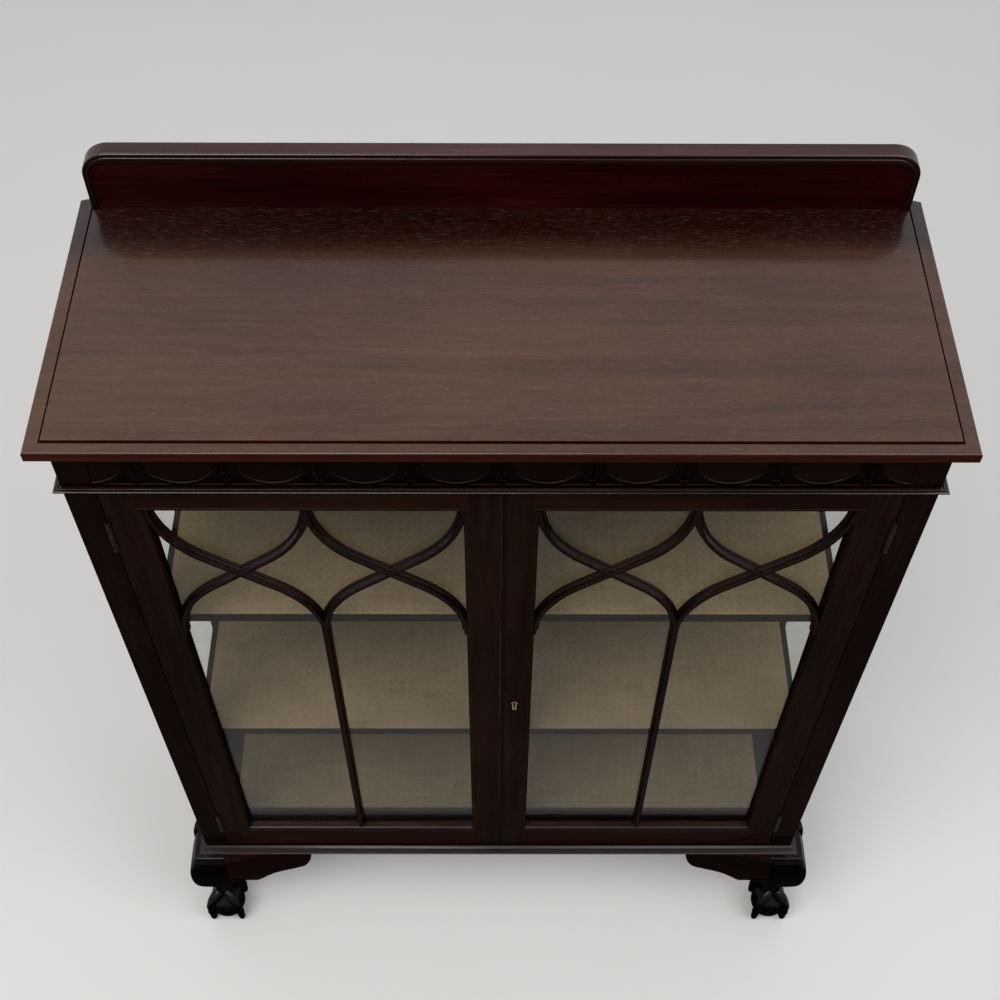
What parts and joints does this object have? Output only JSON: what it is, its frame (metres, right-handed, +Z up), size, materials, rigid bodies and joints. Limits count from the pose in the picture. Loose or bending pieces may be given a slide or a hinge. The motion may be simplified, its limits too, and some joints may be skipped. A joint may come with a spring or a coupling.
{
  "type": "display cabinet",
  "caption": "Glazed display cabinet: carcass on cabriole legs with ball-and-claw feet, doors with ogee glazing bars, cloth-covered shelves, low gallery at the back.",
  "frame": {"origin": "on the floor, at the middle of the cabinet's width and of its depth over the feet", "axes": "+Z up, +X to the right as seen from the front, +Y to the back; the doors face -Y"},
  "size_m": [0.944, 0.392, 1.322],
  "materials": {
    "mahogany": "polished",
    "inner_wood": "satin",
    "cloth": "woven",
    "glass": "polished",
    "brass": "aged"
  },
  "bodies": {
    "carcass": {"back_cloth": "cloth", "back_panel": "inner_wood", "back_top_rail": "inner_wood", "base_board": "mahogany", "door_stop_rail": "inner_wood", "floor_board": "inner_wood", "floor_cloth": "cloth", "frieze": "mahogany", "front_ears": "mahogany", "front_left_leg": "mahogany", "front_right_leg": "mahogany", "gallery_bead": "mahogany", "gallery_board": "mahogany", "left_front_post": "mahogany", "left_rear_post": "mahogany", "left_side_bottom_rail": "mahogany", "left_side_glass": "glass", "left_side_top_rail": "mahogany", "lower_shelf": "inner_wood", "post_hinge_leaves": "brass", "rear_left_leg": "mahogany", "rear_right_leg": "mahogany", "right_front_post": "mahogany", "right_rear_post": "mahogany", "right_side_bottom_rail": "mahogany", "right_side_glass": "glass", "right_side_top_rail": "mahogany", "shelf_bearers": "inner_wood", "shelf_cloths": "cloth", "side_ears": "mahogany", "side_glass_beads": "mahogany", "top_board": "mahogany", "upper_shelf": "inner_wood", "waist_moulding": "mahogany"},
    "left_door": {"left_door_hinge_stile": "mahogany", "left_door_meeting_stile": "mahogany", "left_door_top_rail": "mahogany", "left_door_bottom_rail": "mahogany", "left_door_sight_moulding": "mahogany", "left_door_glazing_bars": "mahogany", "left_door_glass": "glass", "left_door_glass_beads": "mahogany", "left_door_hinge_leaves": "brass", "slide_bolt_cases": "brass"},
    "right_door": {"right_door_hinge_stile": "mahogany", "right_door_meeting_stile": "mahogany", "right_door_top_rail": "mahogany", "right_door_bottom_rail": "mahogany", "right_door_sight_moulding": "mahogany", "right_door_glazing_bars": "mahogany", "right_door_glass": "glass", "right_door_glass_beads": "mahogany", "right_door_hinge_leaves": "brass", "lock_case": "brass", "escutcheon": "brass", "cock_bead": "mahogany"},
    "lock_bolt": {"lock_bolt": "brass"},
    "top_slide_bolt": {"top_slide_bolt": "brass"},
    "bottom_slide_bolt": {"bottom_slide_bolt": "brass"}
  },
  "joints": [
    {"name": "left_door_hinge", "type": "hinge", "parent": "carcass", "child": "left_door", "pos_m": [-0.4069, -0.165, 0.7], "axis": [0, 0, -1], "range_deg": [0, 170]},
    {"name": "right_door_hinge", "type": "hinge", "parent": "carcass", "child": "right_door", "pos_m": [0.4069, -0.165, 0.7], "axis": [0, 0, 1], "range_deg": [0, 170]},
    {"name": "lock_bolt_slide", "type": "slide", "parent": "right_door", "child": "lock_bolt", "axis": [-1, 0, 0], "range_m": [0, 0.007]},
    {"name": "top_bolt_slide", "type": "slide", "parent": "left_door", "child": "top_slide_bolt", "axis": [0, 0, 1], "range_m": [0, 0.011]},
    {"name": "bottom_bolt_slide", "type": "slide", "parent": "left_door", "child": "bottom_slide_bolt", "axis": [0, 0, -1], "range_m": [0, 0.011]}
  ]
}
